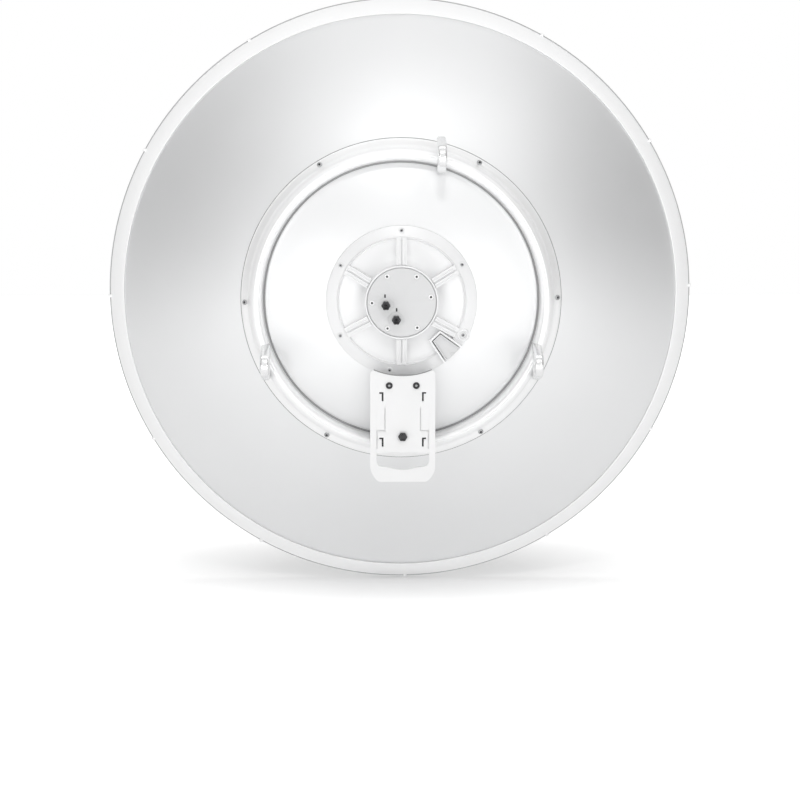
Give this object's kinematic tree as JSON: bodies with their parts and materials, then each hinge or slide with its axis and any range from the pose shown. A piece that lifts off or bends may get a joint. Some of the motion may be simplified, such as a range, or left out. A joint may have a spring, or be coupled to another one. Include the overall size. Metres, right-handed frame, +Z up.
{
  "type": "dish antenna",
  "caption": "Round parabolic dish antenna seen from behind, with edge band, mounting ring, lugs, ribbed feed hub, coaxial sockets and a radio bracket with a hand loop",
  "frame": {"origin": "on the outer flat face of the left mounting lug, between its bolt hole and the ring", "axes": "+Y is the way the dish looks, +Z is up, +X is to the right for someone standing behind the dish"},
  "size_m": [0.75, 0.286, 0.75],
  "materials": {
    "pearl_paint": "satin",
    "white_paint": "satin",
    "grey_casting": "matte",
    "white_plastic": "satin",
    "nickel_plate": "nickel plated"
  },
  "bodies": {
    "root": {"reflector_bowl": "pearl_paint", "rim_band": "white_paint", "mount_ring": "white_paint", "lug_top": "white_paint", "lug_left": "white_paint", "lug_right": "white_paint", "hub_flange": "white_plastic", "hub_collar": "white_plastic", "connector_plate": "grey_casting", "connector_upper": "nickel_plate", "connector_lower": "nickel_plate", "cable_port_frame": "white_plastic", "radio_bracket": "white_plastic", "bracket_pillar_left": "white_plastic", "bracket_pillar_right": "white_plastic", "ring_bridge": "white_plastic", "clamp_ring": "white_paint", "feed_base": "grey_casting", "feed_tube": "grey_casting", "feed_cone": "white_plastic", "sub_reflector": "white_plastic", "hub_rib_1": "white_plastic", "hub_rib_2": "white_plastic", "hub_rib_3": "white_plastic", "hub_rib_4": "white_plastic", "hub_rib_5": "white_plastic", "hub_rib_6": "white_plastic"}
  },
  "joints": []
}
